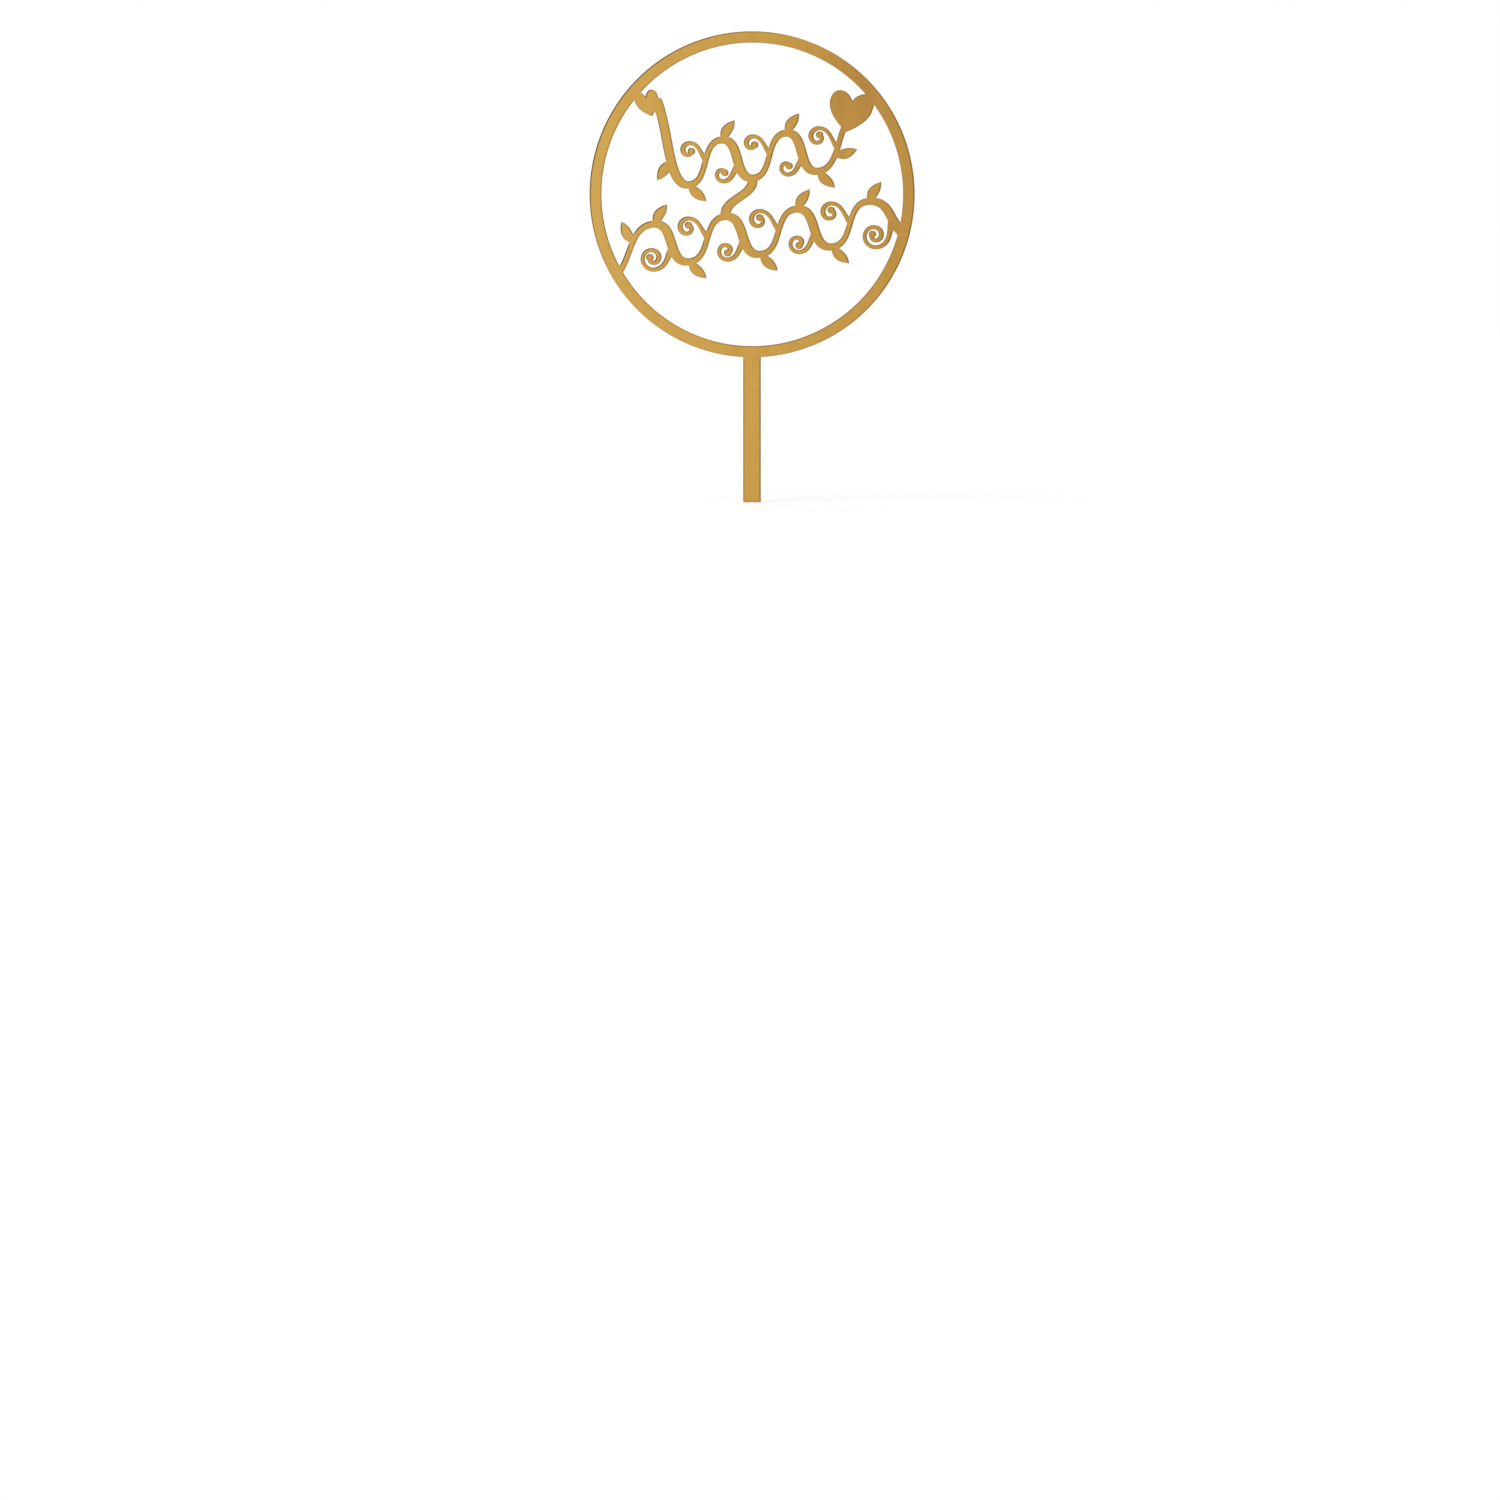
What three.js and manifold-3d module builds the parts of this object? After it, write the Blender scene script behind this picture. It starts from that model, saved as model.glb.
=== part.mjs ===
// A birthday cake topper cut from gold mirror acrylic sheet: a ring on a flat stake, with two hearts let
// into the top of the ring and two slanted lines of vine scroll across it. Every piece is flat and lies in
// the one plane of the sheet. The pieces are bonded edge to edge, with a thin joint between them.
//
// Millimetres and degrees, +Z up, front towards -Y. The origin is the middle of the stake's bottom end.
import * as THREE from "three";
import { mergeVertices } from "three/addons/utils/BufferGeometryUtils.js";
import Module from "manifold-3d";

// Sheet
const SHEET_THICKNESS = 3;
const JOINT_GAP = 0.3;
const GOLD = { color: 0xc99c49, roughness: 0.25, metalness: 1 };

// Ring and stake
const RING_DIAMETER = 110;
const RING_BAND = 3.8;
const STAKE_WIDTH = 5.8;
const STAKE_LENGTH = 49;

// Hearts: a bearing is a place on the ring, counted from its right-hand side, and a heart tilts to the
// left. The sink is how far a heart reaches past the ring's inner edge, where the two are joined. The upper
// stem ends at the tip of the right heart and springs from the side of the left one: its root lies inside
// that side by the inset, and above the heart's middle by the rise.
const LEFT_HEART = { width: 7.8, height: 8.8, bearing: 139, tilt: 17 };
const RIGHT_HEART = { width: 14.6, height: 13.8, bearing: 40, tilt: -11 };
const HEART_SINK = 0.5;
const STEM_ROOT = { inset: 0.6, rise: 0.4 };

// Vine stems: each line bends by turns above and below a slanted axis, whose rise is taken at the ring's
// centre. The roundness is the share of the pitch that a bend reaches along the axis to either side, and
// the ease is the share of the first and last runs that stays straight at the line's ends.
const LINE_SLANT = 6;
const UPPER_LINE_RISE = 12.5;
const LOWER_LINE_RISE = -13.5;
const UPPER_BENDS = 5;
const LOWER_BENDS = 7;
const WAVE_HEIGHT = 14;
const BEND_ROUNDNESS = 0.65;
const END_EASE = 0.4;
const LOWER_LEFT_BEARING = 211;
const LOWER_RIGHT_BEARING = -15;
const STEM_PEN = { thin: 1.8, thick: 3.2, step: 0.7 };

// Curls: one inside each bend, ending in a round bud. The centre lies past the line's axis by the drop, and
// the root is the share of the way to the next bend at which the curl leaves the stem. The gap lies between
// two turns, and the eye is the clear radius inside the last one.
const CURL_PEN = { thin: 1.2, thick: 1.6, step: 0.6 };
const CURL_CLEARANCE = 0.6;
const CURL_DROP = 4.5;
const CURL_ROOT = 0.47;
const CURL_PARTING = 24;
const CURL_GAP = 0.7;
const CURL_EYE = 0.1;
const BUD_DIAMETER = 2.4;

// Leaves: one on the outside of each free bend, and one on each long run, at a share of the run.
const LEAF_LENGTH = 8;
const LEAF_WIDTH = 3.4;
const LEAF_LEAN = 50;
const LEAF_BACK = { belly: 0.4, fullness: 1.15 };
const LEAF_FRONT = { belly: 0.55, fullness: 0.85 };
const UPPER_RUN_LEAVES = { first: 0.55, last: 0.4 };
const LOWER_RUN_LEAVES = { first: 0.5 };

// Fineness
const RING_SEGMENTS = 128;
const CURVE_SEGMENTS = 12;
const ROOM_SAMPLES = 400;
const HALVINGS = 20;
const CUTTER_OVERRUN = 1;
const MERGE_DISTANCE = 1e-4;

const { degToRad, lerp } = THREE.MathUtils;
const ringRadius = RING_DIAMETER / 2;
const ringInnerRadius = ringRadius - RING_BAND;
const ringMiddleRadius = ringRadius - RING_BAND / 2;
const ringHeight = STAKE_LENGTH + ringRadius;
const curlSpacing = CURL_PEN.thick + CURL_GAP;
const curlCore = CURL_PEN.thick / 2 + CURL_EYE;

const wasm = await Module();
wasm.setup();

// Sheet work: a plate is a flat piece of the sheet, and a cutter is thicker than the sheet.
function plate(shape, thickness = SHEET_THICKNESS, curveSegments = CURVE_SEGMENTS) {
  const geometry = new THREE.ExtrudeGeometry(shape, { depth: thickness, bevelEnabled: false, curveSegments });
  return geometry.translate(0, 0, -thickness / 2);
}

function cutterPlate(shape, curveSegments) {
  return plate(shape, SHEET_THICKNESS + 2 * CUTTER_OVERRUN, curveSegments);
}

function solidOf(geometry) {
  const bare = geometry.clone();
  bare.deleteAttribute("normal");
  bare.deleteAttribute("uv");
  const merged = mergeVertices(bare, MERGE_DISTANCE);
  const mesh = new wasm.Mesh({
    numProp: 3,
    vertProperties: new Float32Array(merged.attributes.position.array),
    triVerts: new Uint32Array(merged.index.array),
  });
  return new wasm.Manifold(mesh);
}

function geometryOf(solid) {
  const mesh = solid.getMesh();
  const geometry = new THREE.BufferGeometry();
  geometry.setAttribute("position", new THREE.BufferAttribute(new Float32Array(mesh.vertProperties), 3));
  geometry.setIndex(new THREE.BufferAttribute(new Uint32Array(mesh.triVerts), 1));
  geometry.computeVertexNormals();
  return geometry;
}

function cutBy(solid, cutters) {
  return geometryOf(cutters.reduce((rest, cutter) => rest.subtract(cutter), solid));
}

function piece(name, geometry) {
  const mesh = new THREE.Mesh(geometry, new THREE.MeshStandardMaterial(GOLD));
  mesh.name = name;
  return mesh;
}

function onBearing(degrees, radius) {
  const angle = degToRad(degrees);
  return new THREE.Vector2(radius * Math.cos(angle), radius * Math.sin(angle));
}

// Ring and stake, about the ring's centre
function ringShape(growth) {
  const shape = new THREE.Shape().absarc(0, 0, ringRadius + growth, 0, 2 * Math.PI);
  shape.holes.push(new THREE.Path().absarc(0, 0, ringInnerRadius - growth, 0, 2 * Math.PI));
  return shape;
}

function stakeShape() {
  const half = STAKE_WIDTH / 2;
  const shape = new THREE.Shape();
  shape.moveTo(-half, -ringHeight);
  shape.lineTo(half, -ringHeight);
  shape.lineTo(half, -ringMiddleRadius);
  shape.lineTo(-half, -ringMiddleRadius);
  return shape;
}

// Hearts: the curves run from the notch over a lobe to the tip, in shares of the half width and half
// height.
function heartShape(heart, growth) {
  const w = heart.width / 2 + growth;
  const h = heart.height / 2 + growth;
  const shape = new THREE.Shape();
  shape.moveTo(0, 0.52 * h);
  shape.bezierCurveTo(0.28 * w, 1.16 * h, w, 1.1 * h, w, 0.36 * h);
  shape.bezierCurveTo(w, -0.18 * h, 0.52 * w, -0.64 * h, 0, -h);
  shape.bezierCurveTo(-0.52 * w, -0.64 * h, -w, -0.18 * h, -w, 0.36 * h);
  shape.bezierCurveTo(-w, 1.1 * h, -0.28 * w, 1.16 * h, 0, 0.52 * h);
  return shape;
}

// The middle of a heart whose farthest point along its bearing is sunk into the ring
function heartCentre(heart) {
  const outward = onBearing(heart.bearing - heart.tilt, 1);
  const outline = heartShape(heart, 0).getPoints(CURVE_SEGMENTS);
  const reach = Math.max(...outline.map((point) => point.dot(outward)));
  return onBearing(heart.bearing, ringInnerRadius + HEART_SINK - reach);
}

// The root of a stem on the right-hand side of a heart
function stemRoot(heart) {
  const root = new THREE.Vector2(heart.width / 2 - STEM_ROOT.inset, STEM_ROOT.rise);
  return root.rotateAround(new THREE.Vector2(), degToRad(heart.tilt)).add(heartCentre(heart));
}

function heartSolid(heart, geometry) {
  const centre = heartCentre(heart);
  return solidOf(geometry.rotateZ(degToRad(heart.tilt)).translate(centre.x, centre.y, 0));
}

// Strokes of a broad pen, which draws thin lines upwards and thick ones downwards
function penWidth(pen, direction) {
  return lerp(pen.thick, pen.thin, (direction.y + 1) / 2);
}

function strokeShape(curve, pen, growth = 0) {
  const left = [];
  const right = [];
  const steps = Math.ceil(curve.getLength() / pen.step);
  for (let i = 0; i <= steps; i++) {
    const point = curve.getPointAt(i / steps);
    const direction = curve.getTangentAt(i / steps);
    const sideways = new THREE.Vector2(-direction.y, direction.x);
    const half = penWidth(pen, direction) / 2 + growth;
    left.push(point.clone().addScaledVector(sideways, half));
    right.push(point.clone().addScaledVector(sideways, -half));
  }
  return new THREE.Shape([...left, ...right.reverse()]);
}

// A vine has its bends evenly between its two ends. A bend's side is 1 above the axis and -1 below it, and
// places along the vine are counted in bends, from 0 at its start.
class Vine {
  constructor({ start, end, rise, bends, firstSide }) {
    const slant = Math.tan(degToRad(LINE_SLANT));
    const pitch = (end.x - start.x) / (bends + 1);
    const reach = new THREE.Vector2(pitch, pitch * slant).multiplyScalar(BEND_ROUNDNESS);
    this.sides = Array.from({ length: bends }, (_, i) => (i % 2 === 0 ? firstSide : -firstSide));
    const knots = this.sides.map((side, i) => {
      const x = start.x + (i + 1) * pitch;
      return new THREE.Vector2(x, rise + x * slant + (side * WAVE_HEIGHT) / 2);
    });
    this.runs = [start, ...knots].map((from, i) => {
      const to = knots[i] ?? end;
      const leaving = i === 0 ? from.clone().lerp(to, END_EASE) : from.clone().add(reach);
      const arriving = i === bends ? to.clone().lerp(from, END_EASE) : to.clone().sub(reach);
      return new THREE.CubicBezierCurve(from, leaving, arriving, to);
    });
    this.curve = new THREE.CurvePath();
    this.runs.forEach((run) => this.curve.add(run));
  }

  sideOf(bend) {
    return this.sides[bend - 1];
  }

  runAt(place) {
    const index = Math.min(Math.floor(place), this.runs.length - 1);
    return [this.runs[index], place - index];
  }

  pointAt(place) {
    const [run, share] = this.runAt(place);
    return run.getPoint(share);
  }

  angleAt(place) {
    const [run, share] = this.runAt(place);
    return run.getTangent(share).angle();
  }

  bends() {
    return this.sides.map((_, i) => i + 1);
  }

  // The bend on one side of the axis that lies nearest to x
  nearestBend(side, x) {
    const away = (bend) => Math.abs(this.pointAt(bend).x - x);
    return this.bends().filter((bend) => this.sideOf(bend) === side).sort((a, b) => away(a) - away(b))[0];
  }

  // The point between two neighbouring bends at which the stem passes a height
  crossing(from, to, height) {
    const isBefore = (place) => (this.pointAt(place).y - height) * (this.pointAt(from).y - height) > 0;
    let [near, far] = [from, to];
    for (let i = 0; i < HALVINGS; i++) {
      const middle = (near + far) / 2;
      if (isBefore(middle)) near = middle;
      else far = middle;
    }
    return this.pointAt(near);
  }

  // The middle of the open space inside a bend, past the axis by a drop
  hollowAt(bend, drop) {
    const height = this.pointAt(bend).y - this.sideOf(bend) * (WAVE_HEIGHT / 2 + drop);
    return this.crossing(bend, bend - 1, height).lerp(this.crossing(bend, bend + 1, height), 0.5);
  }

  // The distance from a point to the nearest part of the stem's edge
  roomAt(point) {
    const stem = this.curve.getPoints(ROOM_SAMPLES);
    return Math.min(...stem.map((place) => place.distanceTo(point))) - STEM_PEN.thick / 2;
  }

  leafPlaces(linkBend, runs) {
    const last = this.sides.length;
    const free = this.bends().filter((bend) => bend !== linkBend);
    const places = free.map((at) => ({ at, side: this.sideOf(at) }));
    if (runs.first) places.unshift({ at: runs.first, side: this.sideOf(1) });
    if (runs.last) places.push({ at: last + runs.last, side: this.sideOf(last) });
    return places;
  }
}

// A curl parts from its stem after the bend and winds inwards about a centre inside the bend.
class CurlCurve extends THREE.Curve {
  constructor(centre, root, outerRadius, side) {
    super();
    const arm = root.clone().sub(centre);
    this.centre = centre;
    this.side = side;
    this.outerRadius = outerRadius;
    this.rootAngle = arm.angle();
    this.rootReach = arm.length() - outerRadius;
    this.sweep = (2 * Math.PI * (outerRadius - curlCore)) / curlSpacing;
  }

  getPoint(t) {
    const swept = t * this.sweep;
    const parting = this.rootReach * Math.exp(-swept / degToRad(CURL_PARTING));
    const radius = lerp(this.outerRadius, curlCore, t) + parting;
    const angle = this.rootAngle - this.side * swept;
    return new THREE.Vector2(Math.cos(angle), Math.sin(angle)).multiplyScalar(radius).add(this.centre);
  }
}

function curlSolid(vine, bend) {
  const side = vine.sideOf(bend);
  const centre = vine.hollowAt(bend, CURL_DROP);
  const outerRadius = vine.roomAt(centre) - CURL_CLEARANCE - CURL_PEN.thick / 2;
  const curve = new CurlCurve(centre, vine.pointAt(bend + CURL_ROOT), outerRadius, side);
  const tip = curve.getPoint(1);
  const bud = new THREE.Shape().absarc(tip.x, tip.y, BUD_DIAMETER / 2, 0, 2 * Math.PI);
  return solidOf(plate(strokeShape(curve, CURL_PEN))).add(solidOf(plate(bud)));
}

// A pointed leaf, fuller on the side that faces back along the vine
function leafSolid(vine, { at, side }) {
  const root = vine.pointAt(at);
  const back = new THREE.Vector2(LEAF_BACK.belly * LEAF_LENGTH, side * LEAF_BACK.fullness * LEAF_WIDTH);
  const front = new THREE.Vector2(LEAF_FRONT.belly * LEAF_LENGTH, -side * LEAF_FRONT.fullness * LEAF_WIDTH);
  const shape = new THREE.Shape();
  shape.moveTo(0, 0);
  shape.quadraticCurveTo(back.x, back.y, LEAF_LENGTH, 0);
  shape.quadraticCurveTo(front.x, front.y, 0, 0);
  const geometry = plate(shape).rotateZ(vine.angleAt(at) + side * degToRad(LEAF_LEAN));
  return solidOf(geometry.translate(root.x, root.y, 0));
}

// The link hangs from a bend of the upper stem and stands on one of the lower stem.
function linkSolid(from, to) {
  const middle = (from.y + to.y) / 2;
  const above = new THREE.Vector2(from.x, middle);
  const below = new THREE.Vector2(to.x, middle);
  return solidOf(plate(strokeShape(new THREE.CubicBezierCurve(from, above, below, to), STEM_PEN)));
}

const hearts = { left: LEFT_HEART, right: RIGHT_HEART };
const upper = new Vine({
  start: stemRoot(LEFT_HEART),
  end: heartCentre(RIGHT_HEART),
  rise: UPPER_LINE_RISE,
  bends: UPPER_BENDS,
  firstSide: -1,
});
const lower = new Vine({
  start: onBearing(LOWER_LEFT_BEARING, ringMiddleRadius),
  end: onBearing(LOWER_RIGHT_BEARING, ringMiddleRadius),
  rise: LOWER_LINE_RISE,
  bends: LOWER_BENDS,
  firstSide: 1,
});
const upperLinkBend = upper.nearestBend(-1, 0);
const lowerLinkBend = lower.nearestBend(1, upper.pointAt(upperLinkBend).x);
const vines = [
  { name: "upper", vine: upper, leaves: upper.leafPlaces(upperLinkBend, UPPER_RUN_LEAVES) },
  { name: "lower", vine: lower, leaves: lower.leafPlaces(lowerLinkBend, LOWER_RUN_LEAVES) },
];

const ringCutter = solidOf(cutterPlate(ringShape(JOINT_GAP), RING_SEGMENTS));
const heartCutters = Object.values(hearts).map((heart) => {
  return heartSolid(heart, cutterPlate(heartShape(heart, JOINT_GAP)));
});
const frameCutters = [ringCutter, ...heartCutters];
const stemCutters = vines.map(({ vine }) => {
  return solidOf(cutterPlate(strokeShape(vine.curve, STEM_PEN, JOINT_GAP)));
});
const vineCutters = [...frameCutters, ...stemCutters];

const panel = new THREE.Group();
panel.position.y = ringHeight;
panel.add(piece("ring", plate(ringShape(0), SHEET_THICKNESS, RING_SEGMENTS)));
panel.add(piece("stake", cutBy(solidOf(plate(stakeShape())), [ringCutter])));
for (const [name, heart] of Object.entries(hearts)) {
  const solid = heartSolid(heart, plate(heartShape(heart, 0)));
  panel.add(piece(`${name}_heart`, cutBy(solid, [ringCutter])));
}
for (const { name, vine, leaves } of vines) {
  const stem = solidOf(plate(strokeShape(vine.curve, STEM_PEN)));
  panel.add(piece(`${name}_stem`, cutBy(stem, frameCutters)));
  vine.bends().forEach((bend) => {
    panel.add(piece(`${name}_curl_${bend}`, cutBy(curlSolid(vine, bend), vineCutters)));
  });
  leaves.forEach((leaf, i) => {
    panel.add(piece(`${name}_leaf_${i + 1}`, cutBy(leafSolid(vine, leaf), vineCutters)));
  });
}
const link = linkSolid(upper.pointAt(upperLinkBend), lower.pointAt(lowerLinkBend));
panel.add(piece("link_stem", cutBy(link, stemCutters)));

// The panel is drawn lying on its back, and stands up when it is turned about X.
const topper = new THREE.Group();
topper.rotation.x = Math.PI / 2;
topper.add(panel);

export default topper;
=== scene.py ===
import math

import bmesh
import bpy
import numpy as np
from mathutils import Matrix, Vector
from mathutils.bvhtree import BVHTree


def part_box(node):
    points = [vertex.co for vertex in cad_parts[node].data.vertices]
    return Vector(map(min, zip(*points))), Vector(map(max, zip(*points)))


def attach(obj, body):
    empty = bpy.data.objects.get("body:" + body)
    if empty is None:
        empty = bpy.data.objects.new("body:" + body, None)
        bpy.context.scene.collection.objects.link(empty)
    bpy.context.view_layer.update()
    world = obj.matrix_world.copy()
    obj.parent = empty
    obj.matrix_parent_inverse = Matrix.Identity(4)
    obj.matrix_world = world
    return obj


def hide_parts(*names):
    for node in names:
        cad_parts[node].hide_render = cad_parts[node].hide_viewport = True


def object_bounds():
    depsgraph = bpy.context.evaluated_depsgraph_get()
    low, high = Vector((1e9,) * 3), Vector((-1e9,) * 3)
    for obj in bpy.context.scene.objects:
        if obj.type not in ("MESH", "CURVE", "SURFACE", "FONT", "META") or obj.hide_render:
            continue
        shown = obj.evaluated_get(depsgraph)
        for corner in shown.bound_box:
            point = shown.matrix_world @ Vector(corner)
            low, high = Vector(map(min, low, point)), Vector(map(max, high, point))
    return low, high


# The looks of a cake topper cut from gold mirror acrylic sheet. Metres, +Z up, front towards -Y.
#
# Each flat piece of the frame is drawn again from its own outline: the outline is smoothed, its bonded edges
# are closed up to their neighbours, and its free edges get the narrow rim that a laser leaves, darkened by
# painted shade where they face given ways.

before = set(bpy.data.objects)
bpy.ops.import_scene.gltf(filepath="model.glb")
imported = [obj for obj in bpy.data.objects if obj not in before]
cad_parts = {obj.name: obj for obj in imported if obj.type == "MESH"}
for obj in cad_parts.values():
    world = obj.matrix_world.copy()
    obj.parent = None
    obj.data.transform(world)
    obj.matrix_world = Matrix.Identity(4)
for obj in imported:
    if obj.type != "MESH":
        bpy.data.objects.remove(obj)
cad_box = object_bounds()

MM = 0.001
SHEET_HALF = (cad_box[1].y - cad_box[0].y) / 2

# Photograph's frame
PHOTO_SIZE = 1500
RING_CENTRE_PIXEL = (752, 194.5)
RING_HEIGHT_PIXELS = 326
SENSOR_WIDTH = 36
CAMERA_DISTANCE = 3
CAMERA_AZIMUTH = 4

# Outlines: a face is a front one by its normal's y, and a turn past the corner angle stays sharp.
FRONT_NORMAL = -0.9
LONGEST_STEP = 0.45 * MM
SHORTEST_STEP = 0.07 * MM
CORNER_ANGLE = 28
MERGE_DISTANCE = 0.001 * MM
WELD_DISTANCE = 0.0001 * MM
SLIVER_AREA = 0.01 * MM * MM
SHORTEST_VECTOR = 1e-6

# Bonded edges: a gap up to the reach is a joint, which closes to a hairline. The free edges beside it follow,
# less and less over the ease.
JOINT_REACH = 0.37 * MM
HAIRLINE = 0.015 * MM
JOINT_EASE = 2.2 * MM

# Rims of the free edges: a flat band of the face, and a round that takes up a share of the rim's width. The
# rim fades out on the way to a joint and stays within a thin tip.
RIM_WIDTH = 0.4 * MM
ROUND_SHARE = 0.45
ROUND_SEGMENTS = 3
FADE_LENGTH = 0.6 * MM
NEIGHBOUR_REACH = JOINT_REACH + FADE_LENGTH
TIP_SHARE = 0.55
MITRE_LIMIT = 1.6

# A piece is fitted to the pieces that come before it in this order. The rest follow in one last group.
FITTING_ORDER = [["ring"], ["stake", "left_heart", "right_heart"], ["upper_stem", "lower_stem"]]

# Faces of a piece, in the order of its material slots
FRONT, RIM, WALL, BACK = range(4)

# Soft, distant lamps: the side each shines from, how wide it looks in degrees, and its strength
LAMPS = {
    "key_lamp": {"side": (-1, -1.1, 1.2), "width": 60, "strength": 1.1},
    "fill_lamp": {"side": (1.2, -0.8, 0.7), "width": 50, "strength": 0.4},
    "back_lamp": {"side": (-0.4, 1.2, 1), "width": 50, "strength": 0.8},
}
AMBIENT = 0.5
FLOOR_SIZE = 7
FLOOR_LIFT = 0.18

# The range that most values of a noise lie in
NOISE_LOW, NOISE_HIGH = 0.3, 0.7

# Gold face: how its tone, from 0 to 1, changes per metre as a painted reflection that is paler at the left
# and lower down, its tone at the origin, and a soft darker patch of painted shade at the upper right
PAINTED_REFLECTION_LEAN = (-4.8, 0, -0.55)
TONE_BASE = 0.58
PAINTED_SHADE_CENTRE = (36 * MM, 0, 141 * MM)
PAINTED_SHADE_RADIUS = 30 * MM
PAINTED_SHADE_TONE = -0.28

# Painted shade on the rims: the way that the shaded edges face, and how dark they are at the topper's two
# ends. The painted shade starts, and is full, at these cosines of an edge's angle from that way.
SHADE_STARTS, SHADE_FULL = 0.3, 0.9
PAINTED_EDGE_SHADE = [
    {"facing": (-0.77, 0, 0.64), "left": 1, "right": 0.2},
    {"facing": (1, 0, 0), "left": 0, "right": 0.5},
]


def srgb(red, green, blue):
    """A linear colour, with alpha, from 8-bit display values."""
    def linear(value):
        share = value / 255
        return share / 12.92 if share <= 0.04045 else ((share + 0.055) / 1.055) ** 2.4

    return (linear(red), linear(green), linear(blue), 1)


class Graph:
    """A node tree with short calls. An input is given as a plain value or as the socket to link to it."""

    def __init__(self, owner):
        owner.use_nodes = True
        self.tree = owner.node_tree
        self.tree.nodes.clear()

    def add(self, kind, inputs=None, **settings):
        node = self.tree.nodes.new("ShaderNode" + kind)
        for name, value in settings.items():
            setattr(node, name, value)
        for name, value in (inputs or {}).items():
            if isinstance(value, bpy.types.NodeSocket):
                self.tree.links.new(value, node.inputs[name])
            else:
                node.inputs[name].default_value = value
        return node

    def place(self):
        return self.add("TexCoord").outputs["Object"]

    def stretched(self, place, scale, turn=(0, 0, 0)):
        return self.add("Mapping", {"Vector": place, "Scale": scale, "Rotation": turn}).outputs["Vector"]

    def noise(self, place, scale, detail=2, roughness=0.5):
        inputs = {"Vector": place, "Scale": scale, "Detail": detail, "Roughness": roughness}
        return self.add("TexNoise", inputs).outputs["Fac"]

    def math(self, operation, first, second):
        return self.add("Math", {0: first, 1: second}, operation=operation).outputs[0]

    def spread(self, value, low, high, to_low, to_high):
        inputs = {"Value": value, "From Min": low, "From Max": high, "To Min": to_low, "To Max": to_high}
        return self.add("MapRange", inputs).outputs["Result"]

    def swing(self, noise, to_low, to_high):
        return self.spread(noise, NOISE_LOW, NOISE_HIGH, to_low, to_high)

    def ramp(self, value, stops):
        node = self.add("ValToRGB", {"Fac": value})
        elements = node.color_ramp.elements
        while len(elements) < len(stops):
            elements.new(0.5)
        for element, (position, colour) in zip(elements, stops):
            element.position = position
            element.color = colour
        return node.outputs["Color"]

    def bump(self, height, strength, distance, under=None):
        inputs = {"Height": height, "Strength": strength, "Distance": distance}
        if under is not None:
            inputs["Normal"] = under
        return self.add("Bump", inputs).outputs["Normal"]

    def finish(self, shader, kind="OutputMaterial"):
        self.tree.links.new(shader.outputs[0], self.add(kind).inputs["Surface"])


def material(name, build):
    made = bpy.data.materials.new(name)
    build(Graph(made))
    return made


def gold_face(g):
    """Satin gold mirror film under clear acrylic, with a painted reflection that is paler at the left and
    lower down, a soft patch of painted shade at the upper right, and faint streaks and scratches.
    """
    place = g.place()
    drift = g.noise(place, 16, detail=1)
    streaks = g.noise(g.stretched(place, (150, 10, 22), (0, math.radians(28), 0)), 1, detail=3, roughness=0.6)
    mottle = g.noise(place, 650, detail=3, roughness=0.65)
    # Painted reflection and shade: the face is paler towards the left and the bottom, and darker in a soft
    # patch at the upper right
    painted_reflection = g.add("VectorMath", {0: place, 1: PAINTED_REFLECTION_LEAN}, operation="DOT_PRODUCT").outputs["Value"]
    from_painted_shade = g.add("VectorMath", {0: place, 1: PAINTED_SHADE_CENTRE}, operation="DISTANCE").outputs["Value"]
    tone = g.math("ADD", g.math("ADD", painted_reflection, TONE_BASE), g.spread(from_painted_shade, 0, PAINTED_SHADE_RADIUS, PAINTED_SHADE_TONE, 0))
    for share, reach in ((drift, 0.06), (streaks, 0.12), (mottle, 0.03)):
        tone = g.math("ADD", tone, g.swing(share, -reach, reach))
    colour = g.ramp(tone, [
        (0, srgb(174, 129, 57)),
        (0.25, srgb(186, 140, 64)),
        (0.5, srgb(198, 153, 69)),
        (0.75, srgb(203, 160, 77)),
        (1, srgb(208, 166, 88)),
    ])
    hairs = g.noise(g.stretched(place, (2600, 200, 60), (0, math.radians(-37), 0)), 1, detail=2)
    crossing = g.noise(g.stretched(place, (60, 200, 2900), (0, math.radians(-14), 0)), 1, detail=2)
    scratches = g.math("MAXIMUM", g.spread(hairs, 0.66, 0.74, 0, 1), g.spread(crossing, 0.68, 0.76, 0, 1))
    rough = g.math("ADD", g.swing(mottle, 0.2, 0.3), g.math("MULTIPLY", scratches, 0.08))
    waves = g.bump(g.noise(place, 45, detail=1), 0.25, 0.6 * MM)
    grain = g.bump(g.noise(place, 2400, detail=2), 0.12, 0.04 * MM, waves)
    normal = g.bump(scratches, 0.12, 0.03 * MM, grain)
    g.finish(g.add("BsdfPrincipled", {
        "Base Color": colour,
        "Metallic": 1,
        "Roughness": rough,
        "Normal": normal,
        "Coat Weight": 0.25,
        "Coat Roughness": 0.08,
    }))


def cut_colour(g, place, stops):
    """Browns of a laser cut that run across the sheet's thickness, uneven along the edge."""
    depth = g.add("SeparateXYZ", {"Vector": place}).outputs["Y"]
    uneven = g.noise(g.stretched(place, (420, 60, 420)), 1, detail=2)
    layer = g.math("ADD", g.spread(depth, -SHEET_HALF, SHEET_HALF, 0, 1), g.swing(uneven, -0.05, 0.05))
    return g.ramp(layer, stops)


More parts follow.
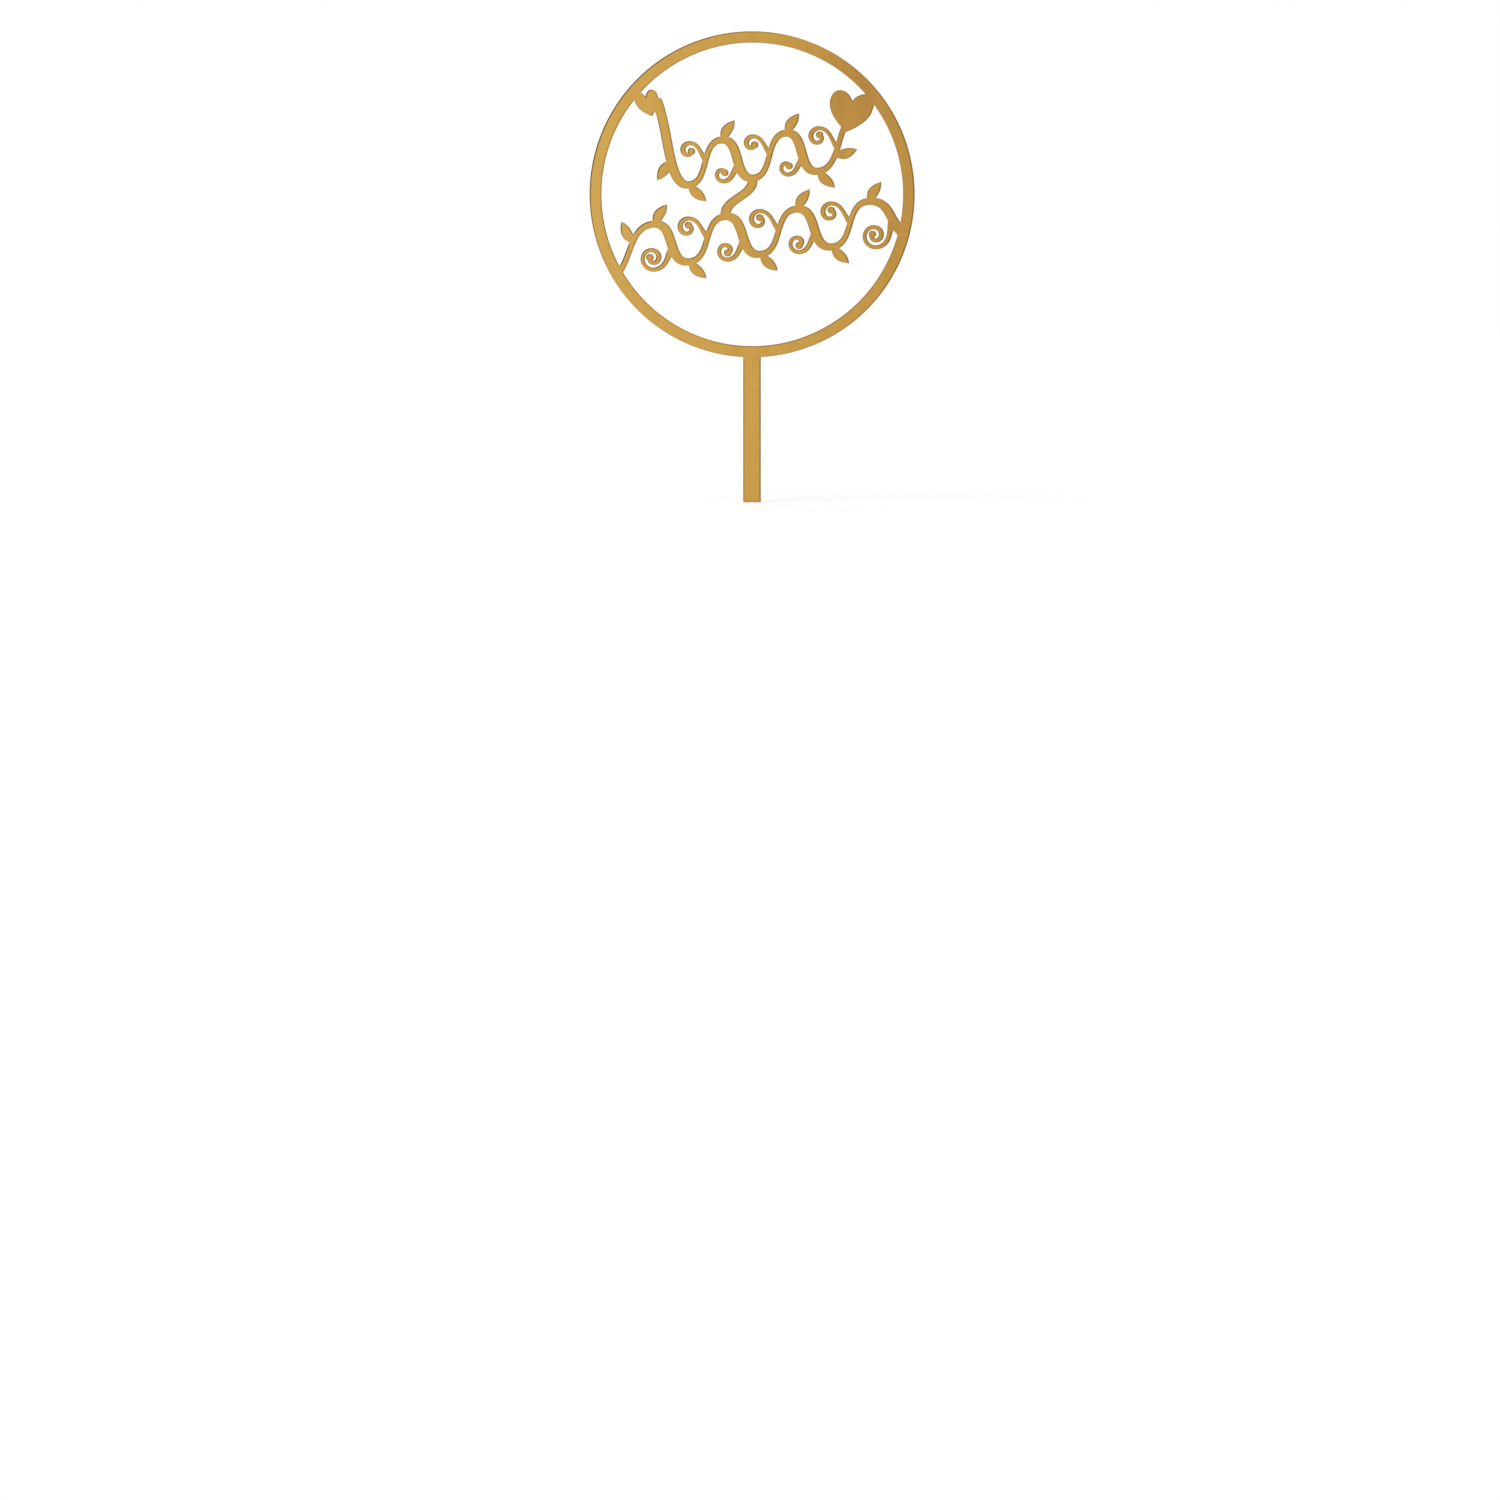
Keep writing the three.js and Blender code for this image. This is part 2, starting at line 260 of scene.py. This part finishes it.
def striations(g, place):
    """Fine ribs that the laser's pulses leave across the edge."""
    fine = g.noise(g.stretched(place, (6500, 90, 6500)), 1, detail=2, roughness=0.6)
    coarse = g.noise(g.stretched(place, (700, 40, 700)), 1, detail=1)
    return g.math("ADD", g.math("MULTIPLY", fine, 0.8), g.math("MULTIPLY", coarse, 0.2))


def from_left(g, place, at_left, at_right):
    """A value that runs evenly across the topper's width."""
    across = g.add("SeparateXYZ", {"Vector": place}).outputs["X"]
    return g.spread(across, cad_box[0].x, cad_box[1].x, at_left, at_right)


def painted_shade_on(g, place, side):
    """Painted shade on the edges that face one way, from 0 to 1, scaled across the topper's width."""
    level = g.add("VectorMath", {0: g.add("TexCoord").outputs["Normal"], 1: (1, 0, 1)}, operation="MULTIPLY")
    outward = g.add("VectorMath", {0: level.outputs["Vector"]}, operation="NORMALIZE").outputs["Vector"]
    facing = g.add("VectorMath", {0: outward, 1: side["facing"]}, operation="DOT_PRODUCT").outputs["Value"]
    share = from_left(g, place, side["left"], side["right"])
    return g.math("MULTIPLY", g.spread(facing, SHADE_STARTS, SHADE_FULL, 0, 1), share)


def rim_with_painted_shade(g):
    """The narrow band and round where the beam enters the sheet, gold-brown with a painted lean that is
    lighter at the left, and painted shade on the edges that face the listed ways.
    """
    place = g.place()
    ribs = striations(g, place)
    ribs_and_painted_shade = g.swing(ribs, 0.08, -0.08)
    # Painted shade: the rim darkens where its edge faces the listed ways, by an amount that changes across
    # the topper's width
    for side in PAINTED_EDGE_SHADE:
        ribs_and_painted_shade = g.math("ADD", ribs_and_painted_shade, painted_shade_on(g, place, side))
    # Painted light: the rim's colour is lighter at the topper's left and darker at its right
    painted_lit_rim = g.ramp(from_left(g, place, 0, 1), [(0, srgb(209, 166, 83)), (1, srgb(192, 148, 68))])
    # The dark brown here is the colour of the painted shade
    colour = g.add("MixRGB", {"Fac": ribs_and_painted_shade, "Color1": painted_lit_rim, "Color2": srgb(96, 63, 17)}).outputs["Color"]
    g.finish(g.add("BsdfPrincipled", {
        "Base Color": colour,
        "Roughness": g.swing(ribs, 0.4, 0.55),
        "Specular IOR Level": 0,
        "Normal": g.bump(ribs, 0.15, 0.03 * MM),
    }))


def cut_wall(g):
    """Amber acrylic with the ribs of the cut, and the dark line of the film and coat at the back."""
    place = g.place()
    ribs = striations(g, place)
    layers = cut_colour(g, place, [
        (0, srgb(138, 98, 39)),
        (0.15, srgb(178, 130, 54)),
        (0.82, srgb(166, 119, 48)),
        (0.92, srgb(94, 67, 31)),
    ])
    shade = g.add("MixRGB", {
        "Fac": g.spread(ribs, 0.35, 0.65, 0, 0.25),
        "Color1": layers,
        "Color2": srgb(126, 89, 36),
    }).outputs["Color"]
    g.finish(g.add("BsdfPrincipled", {
        "Base Color": shade,
        "Roughness": g.swing(ribs, 0.4, 0.6),
        "Specular IOR Level": 0,
        "Normal": g.bump(ribs, 0.25, 0.04 * MM),
    }))


def backing_coat(g):
    """Matt gold lacquer over the film, with an orange-peel surface, clouds, roller streaks and flakes."""
    place = g.place()
    peel = g.noise(place, 1100, detail=2)
    clouds = g.noise(place, 42, detail=3)
    streaks = g.noise(g.stretched(place, (260, 10, 18)), 1, detail=3)
    flakes = g.noise(place, 4200, detail=1)
    tone = g.math("ADD", g.swing(clouds, 0.2, 0.7), g.swing(streaks, -0.2, 0.2))
    tone = g.math("ADD", tone, g.swing(peel, -0.1, 0.1))
    tone = g.math("ADD", tone, g.spread(flakes, 0.62, 0.72, 0, 0.3))
    colour = g.ramp(tone, [(0, srgb(170, 128, 58)), (0.6, srgb(196, 153, 74)), (1, srgb(222, 184, 108))])
    g.finish(g.add("BsdfPrincipled", {
        "Base Color": colour,
        "Metallic": 0.9,
        "Roughness": g.swing(peel, 0.38, 0.5),
        "Normal": g.bump(peel, 0.25, 0.05 * MM),
    }))


def seen_rays(g):
    """1 for the rays that see the background itself, or in a mirror, or through a clear piece."""
    path = g.add("LightPath").outputs
    seen = g.math("MAXIMUM", path["Is Camera Ray"], path["Is Glossy Ray"])
    return g.math("MAXIMUM", seen, path["Is Transmission Ray"])


def floor_paint(g):
    """Matt white, lifted to the white of the backdrop where no shadow lies."""
    place = g.place()
    colour = g.ramp(g.noise(place, 3, detail=2), [(0.3, (0.9, 0.9, 0.9, 1)), (0.7, (0.93, 0.93, 0.93, 1))])
    matt = g.add("BsdfDiffuse", {"Color": colour})
    lift = g.add("Emission", {"Strength": g.math("MULTIPLY", seen_rays(g), FLOOR_LIFT)})
    g.finish(g.add("AddShader", {0: matt.outputs[0], 1: lift.outputs[0]}))


def light_world(g):
    """White where it is seen, and dimmer as a light."""
    strength = g.add("MapRange", {"Value": seen_rays(g), "To Min": AMBIENT, "To Max": 1}).outputs["Result"]
    g.finish(g.add("Background", {"Color": (1, 1, 1, 1), "Strength": strength}), "OutputWorld")


def front_outlines(node):
    """The closed outlines of a node's front face, as arrays of (x, z) with the sheet on the left."""
    bm = bmesh.new()
    bm.from_mesh(node.data)
    bmesh.ops.remove_doubles(bm, verts=bm.verts, dist=MERGE_DISTANCE)
    following = {}
    for face in bm.faces:
        if face.normal.y < FRONT_NORMAL:
            for loop in face.loops:
                if loop.link_loop_radial_next.face.normal.y > FRONT_NORMAL:
                    following[loop.vert] = loop.link_loop_next.vert
    outlines = []
    while following:
        start, vert = following.popitem()
        outline = [start]
        while vert is not start:
            outline.append(vert)
            vert = following.pop(vert)
        outlines.append(np.array([(v.co.x, v.co.z) for v in outline]))
    bm.free()
    return [outline for outline in outlines if abs(area_inside(outline)) > SLIVER_AREA]


def area_inside(points):
    """The area that an outline encloses, below 0 for the outline of a hole."""
    after = np.roll(points, -1, axis=0)
    return (points[:, 0] * after[:, 1] - after[:, 0] * points[:, 1]).sum() / 2


def turn_angles(points):
    """How far the outline turns at each point, in radians, to the left above 0."""
    coming = points - np.roll(points, 1, axis=0)
    going = np.roll(points, -1, axis=0) - points
    cross = coming[:, 0] * going[:, 1] - coming[:, 1] * going[:, 0]
    return np.arctan2(cross, (coming * going).sum(1))


def smoothed(points):
    """The outline with its long steps halved, along the curve its neighbours give, until none is long."""
    while True:
        corner = np.abs(turn_angles(points)) > math.radians(CORNER_ANGLE)
        after = np.roll(points, -1, axis=0)
        step = np.linalg.norm(after - points, axis=1)
        if step.max() <= LONGEST_STEP:
            return points
        before_start = continued(points, np.roll(points, 1, axis=0), after, corner)
        past_end = continued(after, np.roll(points, -2, axis=0), points, np.roll(corner, -1))
        # The four-point rule: the new point lies on the cubic through the four around it
        middle = (9 * (points + after) - before_start - past_end) / 16
        rows = []
        for i in range(len(points)):
            rows.append(points[i])
            if step[i] > LONGEST_STEP:
                rows.append(middle[i])
        points = np.array(rows)


def continued(end, beyond, other, is_corner):
    """The step from other to end carried on towards beyond, at its own length, or straight on at a corner."""
    step = end - other
    length = np.linalg.norm(step, axis=1, keepdims=True)
    onward = beyond - end
    onward = onward / np.linalg.norm(onward, axis=1, keepdims=True) * length
    return end + np.where(is_corner[:, None], step, onward)


def fitting_rank(name):
    """The place of a node in the fitting order."""
    return next((i for i, group in enumerate(FITTING_ORDER) if name in group), len(FITTING_ORDER))


def solid_tree(node):
    """A search tree of a node's faces."""
    bm = bmesh.new()
    bm.from_mesh(node.data)
    tree = BVHTree.FromBMesh(bm)
    bm.free()
    return tree


def boxes_meet(first, second, reach):
    """Whether two boxes, one of them grown by the reach, overlap as seen from the front."""
    (low_a, high_a), (low_b, high_b) = first, second
    return all(low_a[i] - reach < high_b[i] and low_b[i] - reach < high_a[i] for i in (0, 2))


def fitted(name, points, neighbours):
    """The outline closed up to the pieces it is bonded to, and each point's room to its nearest piece."""
    rank = fitting_rank(name)
    shifts = np.full(points.shape, np.nan)
    room = np.full(len(points), NEIGHBOUR_REACH)
    for i, (x, z) in enumerate(points):
        here = Vector((x, 0, z))
        for other, tree in neighbours.items():
            there, _, _, distance = tree.find_nearest(here, NEIGHBOUR_REACH)
            if there is None:
                continue
            room[i] = min(room[i], distance)
            if distance < JOINT_REACH and fitting_rank(other) < rank:
                shift = (there - here) * (1 - HAIRLINE / distance)
                shifts[i] = shift.x, shift.z
    closed = points + eased(points, shifts)
    kept = spaced_out(closed)
    return closed[kept], room[kept]


def eased(points, shifts):
    """The shifts of the bonded points, carried on along the free edges beside them until they fade out."""
    steps = np.linalg.norm(points - np.roll(points, 1, axis=0), axis=1)
    carried = np.nan_to_num(shifts)
    for i in np.flatnonzero(np.isnan(shifts[:, 0])):
        bonds = bonds_beside(i, shifts, steps)
        shares = [shifts[bond] * smooth_step(1 - run / JOINT_EASE) for bond, run in bonds]
        if shares:
            carried[i] = max(shares, key=np.linalg.norm)
    return carried


def bonds_beside(i, shifts, steps):
    """The nearest bonded point each way along the outline, within the ease, and the run of edge to it."""
    for way in (1, -1):
        run, at = 0, i
        while run < JOINT_EASE and np.isnan(shifts[at, 0]):
            ahead = (at + way) % len(steps)
            run += steps[ahead if way == 1 else at]
            at = ahead
        if run < JOINT_EASE:
            yield at, run


def smooth_step(share):
    share = np.clip(share, 0, 1)
    return share * share * (3 - 2 * share)


def spaced_out(points):
    """The indices of the points without those that lie almost on the one before."""
    kept = [0]
    for i in range(1, len(points)):
        nearest = min(np.linalg.norm(points[i] - points[kept[end]]) for end in (0, -1))
        if nearest > SHORTEST_STEP:
            kept.append(i)
    return kept


def inward_normals(points):
    """Unit normals into the sheet, and how much longer a mitred inset is than a plain one."""
    coming = points - np.roll(points, 1, axis=0)
    going = np.roll(points, -1, axis=0) - points
    coming /= np.linalg.norm(coming, axis=1, keepdims=True)
    going /= np.linalg.norm(going, axis=1, keepdims=True)
    along = coming + going
    along /= np.maximum(np.linalg.norm(along, axis=1, keepdims=True), SHORTEST_VECTOR)
    mitre = 1 / np.maximum((along * going).sum(1), 1 / MITRE_LIMIT)
    return np.stack([-along[:, 1], along[:, 0]], axis=1), mitre


def inner_radii(points, normals, everything):
    """The radius of the largest circle inside the sheet that touches its outline at each point."""
    radii = np.empty(len(points))
    for i, (point, normal) in enumerate(zip(points, normals)):
        chord = everything - point
        inward = chord @ normal
        ahead = inward > MERGE_DISTANCE
        radii[i] = ((chord[ahead] ** 2).sum(1) / (2 * inward[ahead])).min()
    return radii


def rim_widths(points, normals, everything, room):
    """The width of the rim at each point."""
    fade = smooth_step((room - JOINT_REACH) / FADE_LENGTH)
    return np.minimum(RIM_WIDTH * fade, TIP_SHARE * inner_radii(points, normals, everything))


def ring_of_verts(bm, points, depth):
    return [bm.verts.new((x, y, z)) for (x, z), y in zip(points, depth)]


def bridge(bm, first, second, slot):
    """A strip of faces between two rings of as many points."""
    for i in range(len(first)):
        face = bm.faces.new((first[i - 1], first[i], second[i], second[i - 1]))
        face.material_index = slot
        face.smooth = True


def fill_cap(bm, rings, direction, slot):
    """The flat face inside the rings."""
    edges = [bm.edges.get((ring[i - 1], ring[i])) for ring in rings for i in range(len(ring))]
    made = bmesh.ops.triangle_fill(bm, edges=edges, use_beauty=True, normal=(0, direction, 0))
    for face in made["geom"]:
        if isinstance(face, bmesh.types.BMFace):
            face.material_index = slot
            face.smooth = False


def sheet_piece(name, outlines, materials):
    """A closed flat piece from (outline, room) pairs: faces, rims and cut walls."""
    bm = bmesh.new()
    everything = np.concatenate([points for points, _ in outlines])
    front_rings, back_rings = [], []
    for points, room in outlines:
        normals, mitre = inward_normals(points)
        width = rim_widths(points, normals, everything, room)
        radius = ROUND_SHARE * width
        band = points + normals * (width * mitre)[:, None]
        rings = []
        for k in range(ROUND_SEGMENTS + 1):
            angle = math.pi / 2 * k / ROUND_SEGMENTS
            inset = points + normals * (radius * mitre * (1 - math.sin(angle)))[:, None]
            rings.append((inset, SHEET_HALF - radius * (1 - math.cos(angle))))
        front = [ring_of_verts(bm, band, np.full(len(band), -SHEET_HALF))]
        front += [ring_of_verts(bm, inset, -depth) for inset, depth in rings]
        back = [ring_of_verts(bm, inset, depth) for inset, depth in rings]
        for inner, outer in zip(front, front[1:]):
            bridge(bm, inner, outer, RIM)
        bridge(bm, front[-1], back[-1], WALL)
        for outer, inner in zip(back[::-1], back[-2::-1]):
            bridge(bm, outer, inner, WALL)
        front_rings.append(front[0])
        back_rings.append(back[0])
    fill_cap(bm, front_rings, -1, FRONT)
    fill_cap(bm, back_rings, 1, BACK)
    bmesh.ops.remove_doubles(bm, verts=bm.verts, dist=WELD_DISTANCE)
    bmesh.ops.recalc_face_normals(bm, faces=bm.faces)
    sharp = math.radians(CORNER_ANGLE) + math.pi / 2 / ROUND_SEGMENTS
    for edge in bm.edges:
        if edge.calc_face_angle(0) > sharp:
            edge.smooth = False
    mesh = bpy.data.meshes.new(name)
    bm.to_mesh(mesh)
    bm.free()
    for made in materials:
        mesh.materials.append(made)
    piece = bpy.data.objects.new(name, mesh)
    bpy.context.scene.collection.objects.link(piece)
    return piece


def dress_pieces(materials):
    """A finished piece for every node of the frame, each fitted to the others."""
    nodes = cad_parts
    boxes = {name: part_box(name) for name in nodes}
    trees = {name: solid_tree(node) for name, node in nodes.items()}
    for name, node in nodes.items():
        neighbours = {
            other: trees[other]
            for other in nodes
            if other != name and boxes_meet(boxes[name], boxes[other], NEIGHBOUR_REACH)
        }
        outlines = [fitted(name, smoothed(outline), neighbours) for outline in front_outlines(node)]
        piece = sheet_piece(name + "_sheet", outlines, materials)
        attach(piece, "root")
        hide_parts(name)


def add_floor():
    corner = FLOOR_SIZE / 2
    mesh = bpy.data.meshes.new("floor")
    mesh.from_pydata(
        [(-corner, -corner, 0), (corner, -corner, 0), (corner, corner, 0), (-corner, corner, 0)],
        [],
        [(0, 1, 2, 3)],
    )
    mesh.materials.append(material("floor_paint", floor_paint))
    floor = bpy.data.objects.new("floor", mesh)
    bpy.context.scene.collection.objects.link(floor)


def add_lamps():
    for name, lamp in LAMPS.items():
        data = bpy.data.lights.new(name, "SUN")
        data.angle = math.radians(lamp["width"])
        data.energy = lamp["strength"]
        light = bpy.data.objects.new(name, data)
        light.location = lamp["side"]
        light.rotation_euler = light.location.to_track_quat("Z", "Y").to_euler()
        bpy.context.scene.collection.objects.link(light)


def add_camera():
    """Level with the ring's centre and tipped down, so that the ring stands as it does in the photograph."""
    low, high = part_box("ring")
    centre = (low + high) / 2
    pixels_per_metre = RING_HEIGHT_PIXELS / (high.z - low.z)
    right = (RING_CENTRE_PIXEL[0] - PHOTO_SIZE / 2) / pixels_per_metre
    rise = (PHOTO_SIZE / 2 - RING_CENTRE_PIXEL[1]) / pixels_per_metre
    azimuth = math.radians(CAMERA_AZIMUTH)
    tip = math.asin(2 * rise / CAMERA_DISTANCE) / 2
    back = Vector((math.sin(azimuth), -math.cos(azimuth), 0))
    sideways = Vector((math.cos(azimuth), math.sin(azimuth), 0))
    data = bpy.data.cameras.new("camera")
    data.sensor_width = SENSOR_WIDTH
    data.lens = SENSOR_WIDTH * CAMERA_DISTANCE * pixels_per_metre / PHOTO_SIZE * math.cos(tip) ** 2
    camera = bpy.data.objects.new("camera", data)
    camera.location = centre + back * CAMERA_DISTANCE - sideways * right
    camera.rotation_euler = (math.pi / 2 - tip, 0, azimuth)
    bpy.context.scene.collection.objects.link(camera)
    bpy.context.scene.camera = camera


add_camera()
add_floor()
add_lamps()
world = bpy.data.worlds.new("studio")
light_world(Graph(world))
bpy.context.scene.world = world
bpy.context.scene.view_settings.view_transform = "Standard"
dress_pieces([
    material("gold_face", gold_face),
    material("rim_with_painted_shade", rim_with_painted_shade),
    material("cut_wall", cut_wall),
    material("backing_coat", backing_coat),
])
